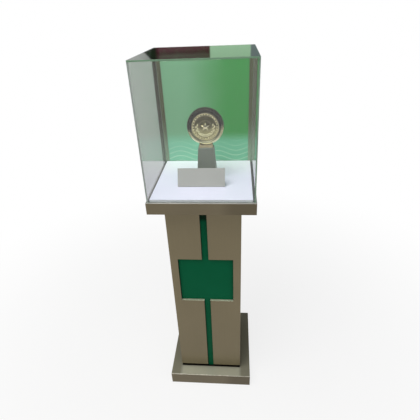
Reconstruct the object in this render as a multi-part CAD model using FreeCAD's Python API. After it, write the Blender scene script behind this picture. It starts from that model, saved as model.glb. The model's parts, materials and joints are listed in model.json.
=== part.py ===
import FreeCAD, Part
import math
import os

# Free-standing display pedestal with a lift-off acrylic hood, in millimetres.
# +Z is up and the front faces -Y. The pieces are drawn round the axis of the column, and saved with
# the origin on the floor under the middle of the base.

# Sheet, boards and general fits
sheet = 1.5               # brushed metal sheet of the shells and skins
fold_radius = 1.2         # outside radius of a folded edge
board_fit = 0.2           # room round a board inside its shell or carcass
hole_fit = 0.15           # radial room round a screw, bolt or stud

# Base
base_width = 395.0
base_depth = 420.0
base_set_back = 10.0      # middle of the base behind the axis of the column
base_top_board_thickness = 18.0
base_bottom_board_thickness = 9.0
rail_height = 36.5
rail_thickness = 18.0
glide_height = 3.0
glide_diameter = 40.0
glide_edge = 0.8
glide_pin_diameter = 5.0
glide_pin_length = 7.0
glide_inset = 34.0        # from the base's sides to the middle of a glide

# Column
column_width = 296.0
column_depth = 296.0
column_height = 939.5     # from the base's top to the deck's underside
cladding_depth = 12.0     # how far the skins stand out from the carcass
shadow_gap = 15.0         # between the base and the lower edge of the skins
stripe_width = 26.5       # green stripe between the front skins
back_seam = 1.0           # joint between the skins at the back
field_width = 230.0       # square green field in the front
field_height = 230.0
field_bottom = 461.0      # above the base's top
inlay_thickness = 3.0     # green sheet that shows in the stripe and the field
inlay_fit = 0.3           # between the inlay and the skins
carcass_board = 15.0
batten = 25.0
end_board = 18.0          # foot and head boards of the carcass

# Deck
deck_width = 404.0
deck_depth = 400.0
deck_board = 22.0

# Hood
hood_side_ledge = 4.5     # deck that shows beside the hood
hood_front_ledge = 6.0    # deck that shows in front of the hood
hood_back_ledge = 5.0     # deck that shows behind the hood
hood_height = 478.5
acrylic = 5.0
acrylic_edge = 0.5        # polished chamfer
bond_line = 0.1           # cement between two acrylic panels
backing_thickness = 3.0
backing_room = 0.5        # round the backing sheet inside the hood
strip_width = 15.0
strip_thickness = 2.0
strip_edge = 0.5

# Display floor
floor_panel_thickness = 10.0
floor_panel_edge = 0.8
floor_panel_side_gap = 5.0  # deck that shows between the floor panel and the hood's sides
hood_clearance = 2.0      # between the floor panel and the hood's front and back

# Caption plate: one bent sheet with a sloping face and a foot behind it
caption_width = 182.0
caption_face_height = 73.0
caption_lean = 24.0       # degrees from upright
caption_foot = 40.0
caption_sheet = 3.0
caption_edge = 0.4
caption_x = -7.0
caption_front = -87.0     # lower front edge of the face

# Exhibit
exhibit_x = 10.0
exhibit_y = 12.0
post_height = 128.0
post_foot_width = 80.0
post_foot_depth = 50.0
post_top_width = 61.0
post_top_depth = 36.0
post_edge = 1.5
medal_diameter = 140.0
medal_bore = 108.0
medal_depth = 24.0
rim_outer_round = 7.0
rim_inner_round = 5.0
medal_seat = 10.0         # from the top of the post to the bottom of the medal
medal_foot_width = 53.0
medal_foot_depth = 28.0
medal_foot_height = 13.0
medal_foot_edge = 1.0
saddle_fit = 0.1          # between the rim and its foot, and between the rim and the face
face_thickness = 12.0
face_recess = 4.0         # from the rim's front to the face
border_outer_radius = 51.0
border_inner_radius = 48.0
border_rise = 1.4
star_outer_radius = 20.0
star_inner_radius = 8.5
star_rise = 2.2
star_points = 5
stud_diameter = 6.0
stud_in_rim = 8.0
stud_in_post = 24.0

# Fasteners
wood_screw_diameter = 4.0
wood_screw_head = 8.0
wood_screw_head_depth = 2.4
bottom_screw_length = 32.0
bottom_screw_inset = 70.0     # from the ends of a rail to its screws
carcass_screw_length = 35.0
carcass_screws_per_batten = 4
carcass_screw_margin = 60.0   # from the end boards to the first and last screw
deck_screw_diameter = 6.0
deck_screw_head = 12.0
deck_screw_head_height = 3.5
deck_screw_grip = 14.0        # length in the deck's lower board
deck_screw_inset = 42.0       # from the carcass's inside
bolt_diameter = 8.0
bolt_head_flats = 13.0
bolt_head_height = 5.3
bolt_inset = 46.0             # from the carcass's inside
washer_diameter = 18.0
washer_thickness = 1.6
tee_nut_flange = 22.0
tee_nut_flange_thickness = 1.5
tee_nut_barrel = 11.0
tee_nut_barrel_length = 11.0

# Levels
base_board_bottom = glide_height
rail_bottom = base_board_bottom + base_bottom_board_thickness
rail_top = rail_bottom + rail_height
base_top = rail_top + base_top_board_thickness + sheet
foot_board_top = base_top + end_board
deck_bottom = base_top + column_height
head_board_bottom = deck_bottom - end_board
deck_height = 2 * sheet + 2 * deck_board
deck_top = deck_bottom + deck_height
floor_top = deck_top + floor_panel_thickness
hood_top = deck_top + hood_height
post_top = floor_top + post_height
medal_centre = post_top + medal_seat + medal_diameter / 2

# Sizes that follow
carcass_width = column_width - 2 * cladding_depth
carcass_depth = column_depth - 2 * cladding_depth
carcass_inner_width = carcass_width - 2 * carcass_board
carcass_inner_depth = carcass_depth - 2 * carcass_board
carcass_front = -carcass_depth / 2
base_inner_width = base_width - 2 * sheet - 2 * board_fit
base_inner_depth = base_depth - 2 * sheet - 2 * board_fit
deck_inner_width = deck_width - 2 * sheet - 2 * board_fit
deck_inner_depth = deck_depth - 2 * sheet - 2 * board_fit
hood_width = deck_width - 2 * hood_side_ledge
hood_front = -deck_depth / 2 + hood_front_ledge
hood_back = deck_depth / 2 - hood_back_ledge
hood_inner_width = hood_width - 2 * acrylic
hood_inside_front = hood_front + acrylic
hood_inside_back = hood_back - acrylic
backing_front = hood_inside_back - bond_line - backing_thickness
strip_front = backing_front - strip_thickness

Vector = FreeCAD.Vector
UP = Vector(0, 0, 1)
BACKWARD = Vector(0, 1, 0)
FORWARD = Vector(0, -1, 0)


def block(x0, x1, y0, y1, z0, z1):
    return Part.makeBox(x1 - x0, y1 - y0, z1 - z0, Vector(x0, y0, z0))


def slab(width, depth, bottom, top):
    return block(-width / 2, width / 2, -depth / 2, depth / 2, bottom, top)


def rod(start, direction, diameter, length):
    return Part.makeCylinder(diameter / 2, length, start, direction)


def ring(start, direction, outer, inner, length):
    return rod(start, direction, outer, length).cut(rod(start, direction, inner, length))


def cut_all(shape, cutters):
    for cutter in cutters:
        shape = shape.cut(cutter)
    return shape


def set_back(shape):
    """A piece of the base, moved from the axis of the column to the middle of the base."""
    return shape.translated(Vector(0, base_set_back, 0))


def save(name, *solids):
    shape = solids[0] if len(solids) == 1 else Part.makeCompound(list(solids))
    shape = shape.translated(Vector(0, -base_set_back, 0))
    shape.exportStep("parts/" + name + ".step")


def corners(half_x, half_y, middle=0.0):
    return [(x, middle + y) for x in (-half_x, half_x) for y in (-half_y, half_y)]


def folded_tray(width, depth, bottom, top):
    """A box of folded sheet, closed at the top and open below, with rounded folds."""
    outer = slab(width, depth, bottom, top)
    folds = [edge for edge in outer.Edges if edge.BoundBox.ZMax > bottom + sheet]
    outer = outer.makeFillet(fold_radius, folds)
    return outer.cut(slab(width - 2 * sheet, depth - 2 * sheet, bottom - sheet, top - sheet))


def wood_screw(start, direction, length, room=0.0):
    """Countersunk screw whose head lies flush at start; with room it is the cutter for its hole."""
    head = Part.makeCone(
        wood_screw_head / 2 + room, wood_screw_diameter / 2 + room, wood_screw_head_depth, start, direction
    )
    return head.fuse(rod(start, direction, wood_screw_diameter + 2 * room, length + room)).removeSplitter()


# Places of the fasteners
glide_places = corners(base_width / 2 - glide_inset, base_depth / 2 - glide_inset, base_set_back)
bolt_places = corners(carcass_inner_width / 2 - bolt_inset, carcass_inner_depth / 2 - bolt_inset)
deck_screw_places = corners(
    carcass_inner_width / 2 - deck_screw_inset, carcass_inner_depth / 2 - deck_screw_inset
)
rail_x = base_inner_width / 2 - rail_thickness / 2
rail_y = base_inner_depth / 2 - rail_thickness / 2
bottom_screw_places = corners(base_width / 2 - bottom_screw_inset, rail_y, base_set_back) + corners(
    rail_x, base_depth / 2 - bottom_screw_inset, base_set_back
)
batten_x = carcass_inner_width / 2 - batten / 2
batten_y = carcass_inner_depth / 2 - batten / 2
carcass_screw_pitch = (head_board_bottom - foot_board_top - 2 * carcass_screw_margin) / (
    carcass_screws_per_batten - 1
)
carcass_screw_levels = [
    foot_board_top + carcass_screw_margin + row * carcass_screw_pitch
    for row in range(carcass_screws_per_batten)
]


def bottom_screws(room=0.0):
    return [
        wood_screw(Vector(x, y, base_board_bottom), UP, bottom_screw_length, room)
        for x, y in bottom_screw_places
    ]


def carcass_screws(room=0.0):
    screws = []
    for x in (-batten_x, batten_x):
        for z in carcass_screw_levels:
            screws.append(wood_screw(Vector(x, carcass_front, z), BACKWARD, carcass_screw_length, room))
            screws.append(wood_screw(Vector(x, -carcass_front, z), FORWARD, carcass_screw_length, room))
    return screws


def upright_holes(places, diameter, bottom, top):
    return [rod(Vector(x, y, bottom), UP, diameter + 2 * hole_fit, top - bottom) for x, y in places]


def bolt_holes():
    return upright_holes(bolt_places, bolt_diameter, rail_top, foot_board_top)


def deck_screw_holes():
    hole_end = deck_bottom + sheet + deck_screw_grip + hole_fit
    return upright_holes(deck_screw_places, deck_screw_diameter, head_board_bottom, hole_end)


def build_base():
    shell = set_back(folded_tray(base_width, base_depth, base_board_bottom, base_top))
    save("base_shell", cut_all(shell, bolt_holes()))

    top_board = set_back(slab(base_inner_width, base_inner_depth, rail_top, base_top - sheet))
    save("base_top_board", cut_all(top_board, bolt_holes()))

    half_width = base_inner_width / 2
    half_depth = base_inner_depth / 2
    inner_depth = half_depth - rail_thickness
    rails = {
        "base_front_rail": (-half_width, half_width, -half_depth, -inner_depth),
        "base_back_rail": (-half_width, half_width, inner_depth, half_depth),
        "base_left_rail": (-half_width, -half_width + rail_thickness, -inner_depth, inner_depth),
        "base_right_rail": (half_width - rail_thickness, half_width, -inner_depth, inner_depth),
    }
    for name, (x0, x1, y0, y1) in rails.items():
        rail = set_back(block(x0, x1, y0, y1, rail_bottom, rail_top))
        save(name, cut_all(rail, bottom_screws(hole_fit)))

    bottom_board = set_back(slab(base_inner_width, base_inner_depth, base_board_bottom, rail_bottom))
    pin_holes = upright_holes(
        glide_places, glide_pin_diameter, base_board_bottom, base_board_bottom + glide_pin_length + hole_fit
    )
    save("base_bottom_board", cut_all(bottom_board, bottom_screws(hole_fit) + pin_holes))
    save("base_bottom_screws", *bottom_screws())

    glides = []
    for x, y in glide_places:
        pad = rod(Vector(x, y, 0), UP, glide_diameter, glide_height)
        lower_rim = [edge for edge in pad.Edges if edge.BoundBox.ZMax < glide_height / 2]
        pad = pad.makeChamfer(glide_edge, lower_rim)
        pin = rod(Vector(x, y, glide_height), UP, glide_pin_diameter, glide_pin_length)
        glides.append(pad.fuse(pin))
    save("base_glides", *glides)


def hexagon_head(x, y, bottom):
    points = []
    for corner in range(7):
        angle = math.radians(60 * corner)
        reach = bolt_head_flats / 2 / math.cos(math.radians(30))
        points.append(Vector(x + reach * math.cos(angle), y + reach * math.sin(angle), bottom))
    return Part.Face(Part.makePolygon(points)).extrude(UP * bolt_head_height)


def build_column_bolts():
    washer_bottom = rail_top - washer_thickness
    bolts = []
    washers = []
    nuts = []
    for x, y in bolt_places:
        shank = rod(Vector(x, y, washer_bottom), UP, bolt_diameter, foot_board_top - washer_bottom)
        bolts.append(hexagon_head(x, y, washer_bottom - bolt_head_height).fuse(shank))
        bore = bolt_diameter + 2 * hole_fit
        washers.append(ring(Vector(x, y, washer_bottom), UP, washer_diameter, bore, washer_thickness))
        flange = ring(Vector(x, y, foot_board_top), UP, tee_nut_flange, bore, tee_nut_flange_thickness)
        barrel_bottom = Vector(x, y, foot_board_top - tee_nut_barrel_length)
        barrel = ring(barrel_bottom, UP, tee_nut_barrel, bore, tee_nut_barrel_length)
        nuts.append(flange.fuse(barrel).removeSplitter())
    save("column_bolts", *bolts)
    save("column_bolt_washers", *washers)
    save("column_tee_nuts", *nuts)


def build_carcass():
    half_width = carcass_width / 2
    screw_holes = carcass_screws(hole_fit)
    front_board = block(
        -half_width, half_width, carcass_front, carcass_front + carcass_board, base_top, deck_bottom
    )
    back_board = block(
        -half_width, half_width, -carcass_front - carcass_board, -carcass_front, base_top, deck_bottom
    )
    save("column_front_board", cut_all(front_board, screw_holes))
    save("column_back_board", cut_all(back_board, screw_holes))

    inner_half_width = carcass_inner_width / 2
    inner_half_depth = carcass_inner_depth / 2
    for name, x0 in (("column_left_board", -half_width), ("column_right_board", inner_half_width)):
        side = block(x0, x0 + carcass_board, -inner_half_depth, inner_half_depth, base_top, deck_bottom)
        save(name, side)

    for name, x, y in (
        ("corner_batten_front_left", -batten_x, -batten_y),
        ("corner_batten_front_right", batten_x, -batten_y),
        ("corner_batten_back_left", -batten_x, batten_y),
        ("corner_batten_back_right", batten_x, batten_y),
    ):
        upright = block(
            x - batten / 2, x + batten / 2, y - batten / 2, y + batten / 2, foot_board_top, head_board_bottom
        )
        save(name, cut_all(upright, screw_holes))
    save("carcass_screws", *carcass_screws())

    end_width = carcass_inner_width - 2 * board_fit
    end_depth = carcass_inner_depth - 2 * board_fit
    foot_board = slab(end_width, end_depth, base_top, foot_board_top)
    barrel_holes = upright_holes(
        bolt_places, tee_nut_barrel, foot_board_top - tee_nut_barrel_length, foot_board_top
    )
    save("column_foot_board", cut_all(foot_board, bolt_holes() + barrel_holes))
    head_board = slab(end_width, end_depth, head_board_bottom, deck_bottom)
    save("column_head_board", cut_all(head_board, deck_screw_holes()))


def cladding_half(side, inset):
    """One half of the cladding round the carcass, drawn in by inset on every face that shows."""
    outer_x = column_width / 2 - inset
    outer_y = column_depth / 2 - inset
    bottom = base_top + shadow_gap + inset
    front = block(stripe_width / 2 + inset, outer_x, -outer_y, 0, bottom, deck_bottom)
    back = block(back_seam / 2 + inset, outer_x, 0, outer_y, bottom, deck_bottom)
    half = front.fuse(back).cut(slab(carcass_width, carcass_depth, base_top, deck_bottom + sheet))
    field = block(
        -field_width / 2 - inset,
        field_width / 2 + inset,
        -column_depth,
        carcass_front,
        base_top + field_bottom - inset,
        base_top + field_bottom + field_height + inset,
    )
    half = half.cut(field).removeSplitter()
    if side < 0:
        half = half.mirror(Vector(0, 0, 0), Vector(1, 0, 0))
    return half


def outer_fold_edges(shape):
    """The long upright edges at the outside corners of a skin."""
    return [
        edge
        for edge in shape.Edges
        if edge.BoundBox.ZLength > column_height / 2
        and min(abs(edge.BoundBox.XMin), abs(edge.BoundBox.XMax)) > column_width / 2 - sheet / 2
        and min(abs(edge.BoundBox.YMin), abs(edge.BoundBox.YMax)) > column_depth / 2 - sheet / 2
    ]


def build_cladding():
    reach = column_width
    for name, side in (("left", -1), ("right", 1)):
        whole = cladding_half(side, 0.0)
        lining = cladding_half(side, sheet)
        skin = whole.makeFillet(fold_radius, outer_fold_edges(whole)).cut(lining)
        save(name + "_skin", skin)
        zones = {
            "front": block(-reach, reach, -reach, carcass_front, base_top, deck_bottom),
            "side": block(-reach, reach, carcass_front, -carcass_front, base_top, deck_bottom),
            "back": block(-reach, reach, -carcass_front, reach, base_top, deck_bottom),
        }
        for place, zone in zones.items():
            save(name + "_" + place + "_packer", lining.common(zone))


def build_inlay():
    """Green sheet cut as a square with a strip above and below it, lying on the carcass in the recess."""
    front = carcass_front - inlay_thickness
    half_stripe = stripe_width / 2 - inlay_fit
    half_field = field_width / 2 - inlay_fit
    field_low = base_top + field_bottom + inlay_fit
    field_high = base_top + field_bottom + field_height - inlay_fit
    stripe = block(-half_stripe, half_stripe, front, carcass_front, base_top, deck_bottom)
    field = block(-half_field, half_field, front, carcass_front, field_low, field_high)
    save("green_inlay", stripe.fuse(field).removeSplitter())


def build_deck():
    save("deck_shell", folded_tray(deck_width, deck_depth, deck_bottom, deck_top))
    board_bottom = deck_bottom + sheet
    board_middle = board_bottom + deck_board
    soffit = slab(deck_inner_width, deck_inner_depth, deck_bottom, board_bottom)
    lower = slab(deck_inner_width, deck_inner_depth, board_bottom, board_middle)
    upper = slab(deck_inner_width, deck_inner_depth, board_middle, board_middle + deck_board)
    save("deck_soffit", cut_all(soffit, deck_screw_holes()))
    save("deck_lower_board", cut_all(lower, deck_screw_holes()))
    save("deck_upper_board", upper)

    screws = []
    for x, y in deck_screw_places:
        tip = board_bottom + deck_screw_grip
        head_start = Vector(x, y, head_board_bottom - deck_screw_head_height)
        head = rod(head_start, UP, deck_screw_head, deck_screw_head_height)
        shank = rod(Vector(x, y, head_board_bottom), UP, deck_screw_diameter, tip - head_board_bottom)
        screws.append(head.fuse(shank))
    save("deck_screws", *screws)


def build_floor_panel():
    half_width = hood_inner_width / 2 - floor_panel_side_gap
    front = hood_inside_front + hood_clearance
    back = strip_front - hood_clearance
    panel = block(-half_width, half_width, front, back, deck_top, floor_top)
    rim = [edge for edge in panel.Edges if edge.BoundBox.ZMin > floor_top - floor_panel_edge]
    save("floor_panel", panel.makeChamfer(floor_panel_edge, rim))


def polished(panel):
    return panel.makeChamfer(acrylic_edge, panel.Edges)


def build_hood():
    half_width = hood_width / 2
    inner_half_width = hood_inner_width / 2
    wall_top = hood_top - acrylic - bond_line
    walls = {
        "hood_front_panel": (-half_width, half_width, hood_front, hood_inside_front),
        "hood_back_panel": (-half_width, half_width, hood_inside_back, hood_back),
        "hood_left_panel": (
            -half_width, -inner_half_width, hood_inside_front + bond_line, hood_inside_back - bond_line
        ),
        "hood_right_panel": (
            inner_half_width, half_width, hood_inside_front + bond_line, hood_inside_back - bond_line
        ),
    }
    for name, (x0, x1, y0, y1) in walls.items():
        save(name, polished(block(x0, x1, y0, y1, deck_top, wall_top)))
    lid = block(-half_width, half_width, hood_front, hood_back, hood_top - acrylic, hood_top)
    save("hood_top_panel", polished(lid))

    bottom = deck_top + backing_room
    top = wall_top - backing_room
    backing_half = inner_half_width - backing_room
    backing_back = backing_front + backing_thickness
    backing = block(-backing_half, backing_half, backing_front, backing_back, bottom, top)
    save("green_backing_sheet", backing)
    for name, x0 in (
        ("back_edge_strip_left", -backing_half),
        ("back_edge_strip_right", backing_half - strip_width),
    ):
        strip = block(x0, x0 + strip_width, strip_front, backing_front, bottom, top)
        front_edges = [edge for edge in strip.Edges if edge.BoundBox.YMax < strip_front + strip_edge]
        save(name, strip.makeChamfer(strip_edge, front_edges))


def build_caption_plate():
    lean = math.radians(caption_lean)
    rise = caption_face_height * math.cos(lean)
    run = caption_face_height * math.sin(lean)
    wall_y = caption_sheet / math.cos(lean)
    front = caption_front
    fold_back = front + wall_y + caption_sheet * math.tan(lean)
    profile = [
        (front, 0.0),
        (front + caption_foot, 0.0),
        (front + caption_foot, caption_sheet),
        (fold_back, caption_sheet),
        (front + run + caption_sheet * math.cos(lean), rise - caption_sheet * math.sin(lean)),
        (front + run, rise),
    ]
    x0 = caption_x - caption_width / 2
    points = [Vector(x0, y, floor_top + z) for y, z in profile + profile[:1]]
    plate = Part.Face(Part.makePolygon(points)).extrude(Vector(caption_width, 0, 0))
    save("caption_plate", plate.makeChamfer(caption_edge, plate.Edges))


def rectangle(width, depth, z):
    x0 = exhibit_x - width / 2
    y0 = exhibit_y - depth / 2
    return Part.makePolygon(
        [
            Vector(x0, y0, z),
            Vector(x0 + width, y0, z),
            Vector(x0 + width, y0 + depth, z),
            Vector(x0, y0 + depth, z),
            Vector(x0, y0, z),
        ]
    )


def stud(room=0.0):
    bottom = post_top - stud_in_post - room
    top = post_top + medal_seat + stud_in_rim + room
    return rod(Vector(exhibit_x, exhibit_y, bottom), UP, stud_diameter + 2 * room, top - bottom)


def medal_rod(diameter, front, length):
    return rod(Vector(exhibit_x, front, medal_centre), BACKWARD, diameter, length)


def round_edges(shape, diameter):
    """The circles of this diameter round the medal's axis."""
    return [
        edge
        for edge in shape.Edges
        if isinstance(edge.Curve, Part.Circle) and abs(2 * edge.Curve.Radius - diameter) < hole_fit
    ]


def star(front):
    """Raised star on the face, reaching forward from front by star_rise."""
    points = []
    for corner in range(2 * star_points + 1):
        radius = star_inner_radius if corner % 2 else star_outer_radius
        angle = math.pi / 2 + math.pi * corner / star_points
        points.append(
            Vector(exhibit_x + radius * math.cos(angle), front, medal_centre + radius * math.sin(angle))
        )
    return Part.Face(Part.makePolygon(points)).extrude(FORWARD * star_rise)


def build_exhibit():
    post = Part.makeLoft(
        [
            rectangle(post_foot_width, post_foot_depth, floor_top),
            rectangle(post_top_width, post_top_depth, post_top),
        ],
        True,
        True,
    )
    softened = [edge for edge in post.Edges if edge.BoundBox.ZMax > floor_top + post_edge]
    save("medal_post", post.makeFillet(post_edge, softened).cut(stud(hole_fit)))
    save("medal_stud", stud())

    rim_front = exhibit_y - medal_depth / 2
    rim = medal_rod(medal_diameter, rim_front, medal_depth)
    rim = rim.cut(medal_rod(medal_bore, rim_front, medal_depth))
    rim = rim.makeFillet(rim_outer_round, round_edges(rim, medal_diameter))
    bore_edges = round_edges(rim, medal_bore)
    rim = rim.makeFillet(rim_inner_round, bore_edges)
    save("medal_rim", rim.cut(stud(hole_fit)))

    foot = slab(medal_foot_width, medal_foot_depth, post_top, post_top + medal_foot_height)
    foot.translate(Vector(exhibit_x, exhibit_y, 0))
    rounded = [edge for edge in foot.Edges if edge.BoundBox.ZMax > post_top + medal_foot_edge]
    foot = foot.makeFillet(medal_foot_edge, rounded)
    saddle = medal_rod(medal_diameter + 2 * saddle_fit, exhibit_y - medal_foot_depth, 2 * medal_foot_depth)
    save("medal_foot", foot.cut(saddle).cut(stud(hole_fit)))

    face_front = rim_front + face_recess
    disc = medal_rod(medal_bore - 2 * saddle_fit, face_front, face_thickness)
    border_start = Vector(exhibit_x, face_front - border_rise, medal_centre)
    border = ring(border_start, BACKWARD, 2 * border_outer_radius, 2 * border_inner_radius, border_rise)
    save("medal_face", disc.fuse(border).fuse(star(face_front)).removeSplitter())


os.makedirs("parts", exist_ok=True)
build_base()
build_column_bolts()
build_carcass()
build_cladding()
build_inlay()
build_deck()
build_floor_panel()
build_hood()
build_caption_plate()
build_exhibit()
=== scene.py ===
import json
import math
import bmesh
import bpy
from mathutils import Matrix, Vector

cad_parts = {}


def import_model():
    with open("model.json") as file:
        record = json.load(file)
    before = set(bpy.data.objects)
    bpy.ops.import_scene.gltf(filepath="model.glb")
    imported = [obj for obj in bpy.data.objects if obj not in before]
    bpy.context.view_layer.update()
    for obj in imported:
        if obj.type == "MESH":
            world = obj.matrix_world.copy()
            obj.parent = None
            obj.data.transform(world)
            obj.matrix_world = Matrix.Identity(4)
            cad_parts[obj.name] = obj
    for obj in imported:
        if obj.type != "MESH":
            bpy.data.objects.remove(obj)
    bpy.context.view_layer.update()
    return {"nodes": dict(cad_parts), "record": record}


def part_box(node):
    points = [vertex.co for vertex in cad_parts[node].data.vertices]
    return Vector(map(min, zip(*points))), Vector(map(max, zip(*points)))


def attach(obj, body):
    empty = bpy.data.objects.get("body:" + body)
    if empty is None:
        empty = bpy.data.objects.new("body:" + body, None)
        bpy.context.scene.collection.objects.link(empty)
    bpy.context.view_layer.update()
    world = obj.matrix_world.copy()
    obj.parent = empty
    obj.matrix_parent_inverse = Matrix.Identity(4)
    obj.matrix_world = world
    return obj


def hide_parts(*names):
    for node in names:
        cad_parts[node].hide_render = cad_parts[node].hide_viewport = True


# Display pedestal with a lift-off acrylic hood, in metres, in the frame's own axes.
# +Z is up, the front faces -Y, and the floor lies at z = 0.
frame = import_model()

TINY = 1e-5
X, Y, Z = 0, 1, 2

# Which edges count as sharp, and how far a face's normal points along an axis that it is turned to
sharp_angle = math.radians(40)
turned_share = 0.5
upward_share = 0.35
sideward_share = 0.7
upright_share = 0.3

# Folded metal
sheet = 0.0015
fold_radius = 0.0012
fold_segments = 4
stripe_width = 0.0265
back_seam = 0.001
field_width = 0.230
field_low = 0.529
field_high = 0.759
cladding_depth = 0.012
column_half = 0.148
column_front = -0.158
column_back = 0.138
base_front = -0.210
hood_half = 0.1925
hood_front = -0.199
hood_back = 0.180

# Sheets and panels
inlay_fit = 0.0003
inlay_edge = 0.0003
acrylic_edge = 0.0006
bond_width = 0.0006
backing_edge = 0.0003
strip_edge = 0.0005
floor_panel_edge = 0.0012

# Caption plate
caption_face_height = 0.073
caption_lean = math.radians(24)
caption_sheet = 0.003
caption_bend = 0.0045
caption_edge = 0.0004

# Post and medal
post_top_size = (0.061, 0.036)
post_edge = 0.0022
medal_foot_edge = 0.0012
saddle_cut_depth = 0.1
medal_radius = 0.070
medal_bore = 0.054
rim_front_round = 0.0079
rim_front_segments = 12
rim_back_round = 0.003
rim_back_segments = 5
medal_segments = 128
face_recess = 0.004
relief_start = 0.0002
relief_full = 0.0018
face_thickness = 0.012
face_fit = 0.0001
bead_count = 28
bead_radius = 0.0034
bead_circle = 0.0455
bead_segments = 10
bead_rings = 6
leaf_length = 0.0135
leaf_width = 0.0060
leaf_rise = 0.0030
leaf_circle = 0.0325
leaf_spread = math.radians(22)
leaf_steps = 5
leaf_sides = 6
leaf_offset = 0.58
branch_start = math.radians(20)
branch_sweep = math.radians(120)
star_outer = 0.020
star_inner = 0.0085
star_rise = 0.0052
star_points = 5

# Rings of the medal's face, from the border inwards: the width of each step and how far it rises
face_rings = (
    (0.0022, 0.0), (0.0008, 0.0014), (0.0016, 0.0), (0.0008, -0.0014),
    (0.0060, 0.0), (0.0005, 0.0008), (0.0008, 0.0), (0.0005, -0.0008),
    (0.0160, 0.0), (0.0005, 0.0006), (0.0009, 0.0), (0.0005, -0.0006),
)

# Brushed grain, drawn out along one axis
ALONG_X = (5.0, 1500.0, 1500.0)
ALONG_Y = (1500.0, 5.0, 1500.0)
ALONG_Z = (1500.0, 1500.0, 5.0)
WHITE = (1.0, 1.0, 1.0, 1.0)


# Modelling helpers

def clear_selection():
    if bpy.context.object and bpy.context.object.mode != "OBJECT":
        bpy.ops.object.mode_set(mode="OBJECT")
    bpy.ops.object.select_all(action="DESELECT")


def named(name):
    piece = bpy.context.object
    piece.name = name
    piece.data.name = name
    return piece


def settle():
    """Put the place, turn and size of what is selected into its mesh."""
    bpy.ops.object.transform_apply(location=True, rotation=True, scale=True)


def block(name, low, high):
    """A rectangular block between two corners, as the start of a piece."""
    low, high = Vector(low), Vector(high)
    clear_selection()
    bpy.ops.mesh.primitive_cube_add(size=1.0, location=(low + high) / 2)
    piece = named(name)
    piece.scale = high - low
    settle()
    return piece


def choose(piece, kind, test):
    """In edit mode, select only the faces, edges or points of a piece that pass a test."""
    modes = {"faces": "FACE", "edges": "EDGE", "verts": "VERT"}
    bpy.context.view_layer.objects.active = piece
    bpy.ops.object.mode_set(mode="EDIT")
    bpy.ops.mesh.select_mode(type=modes[kind])
    bpy.ops.mesh.select_all(action="DESELECT")
    mesh = bmesh.from_edit_mesh(piece.data)
    mesh.normal_update()
    for part in [part for part in getattr(mesh, kind) if test(part)]:
        part.select_set(True)
    mesh.select_flush_mode()
    bmesh.update_edit_mesh(piece.data)


def choose_all(piece):
    bpy.context.view_layer.objects.active = piece
    bpy.ops.object.mode_set(mode="EDIT")
    bpy.ops.mesh.select_all(action="SELECT")


def close_up():
    """Merge doubled points and turn all faces of the piece in edit mode outwards."""
    bpy.ops.mesh.select_all(action="SELECT")
    bpy.ops.mesh.remove_doubles(threshold=TINY)
    bpy.ops.mesh.normals_make_consistent(inside=False)


def turned(face, axis, way):
    """Whether a face is turned towards one end of an axis: way is 1 or -1."""
    return way * face.normal[axis] > turned_share


def ends_at(edge, axis, place):
    return all(abs(point.co[axis] - place) < TINY for point in edge.verts)


def sharp(edge):
    return edge.is_manifold and edge.calc_face_angle() > sharp_angle


def outside_fold(edge):
    return sharp(edge) and edge.is_convex


def round_edges(piece, test, radius, segments):
    choose(piece, "edges", test)
    bpy.ops.mesh.bevel(offset=radius, segments=segments, affect="EDGES")


def thicken(piece, thickness):
    """Give an open sheet its thickness, on the inner side."""
    bpy.ops.object.mode_set(mode="OBJECT")
    bpy.ops.object.modifier_add(type="SOLIDIFY")
    solidify = piece.modifiers[-1]
    solidify.thickness = thickness
    solidify.offset = -1.0
    solidify.use_even_offset = True
    bpy.ops.object.modifier_apply(modifier=solidify.name)


def smooth(piece, degrees=50):
    """Shade rounded edges smoothly and keep the broad faces flat."""
    clear_selection()
    piece.select_set(True)
    bpy.context.view_layer.objects.active = piece
    bpy.ops.object.shade_smooth_by_angle(angle=math.radians(degrees))
    bpy.ops.object.modifier_add(type="WEIGHTED_NORMAL")
    weighting = piece.modifiers[-1]
    weighting.keep_sharp = True
    bpy.ops.object.modifier_apply(modifier=weighting.name)


def place(piece, body, slot, *nodes):
    """Finish a piece: its shading, its material, the body that it rides on and the nodes it stands for."""
    smooth(piece)
    if not piece.data.materials:
        piece.data.materials.append(finish[slot])
    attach(piece, body)
    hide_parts(*nodes)
    return piece


def medal_axis():
    low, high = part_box("medal_rim")
    return (low + high) / 2


def medal_ground():
    """How far back the flat ground of the medal's face lies."""
    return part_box("medal_rim")[0].y + face_recess


# Node helpers

def new_group(name, inputs, outputs):
    group = bpy.data.node_groups.new(name, "ShaderNodeTree")
    for label, kind in inputs:
        group.interface.new_socket(label, in_out="INPUT", socket_type=kind)
    for label, kind in outputs:
        group.interface.new_socket(label, in_out="OUTPUT", socket_type=kind)
    return group, group.nodes.new("NodeGroupInput"), group.nodes.new("NodeGroupOutput")


def new_material(name):
    material = bpy.data.materials.new(name)
    material.use_nodes = True
    return material, material.node_tree, material.node_tree.nodes["Principled BSDF"]


def set_sockets(node, **values):
    for label, value in values.items():
        node.inputs[label.replace("_", " ")].default_value = value


def math_node(tree, operation, first, second=None, clamp=False):
    node = tree.nodes.new("ShaderNodeMath")
    node.operation = operation
    node.use_clamp = clamp
    for socket, value in zip(node.inputs, (first, second)):
        if isinstance(value, bpy.types.NodeSocket):
            tree.links.new(value, socket)
        elif value is not None:
            socket.default_value = value
    return node.outputs["Value"]


def ranged(tree, value, from_low, from_high, to_low, to_high, smooth_step=False):
    node = tree.nodes.new("ShaderNodeMapRange")
    if smooth_step:
        node.interpolation_type = "SMOOTHSTEP"
    tree.links.new(value, node.inputs["Value"])
    set_sockets(node, From_Min=from_low, From_Max=from_high, To_Min=to_low, To_Max=to_high)
    return node.outputs["Result"]


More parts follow.
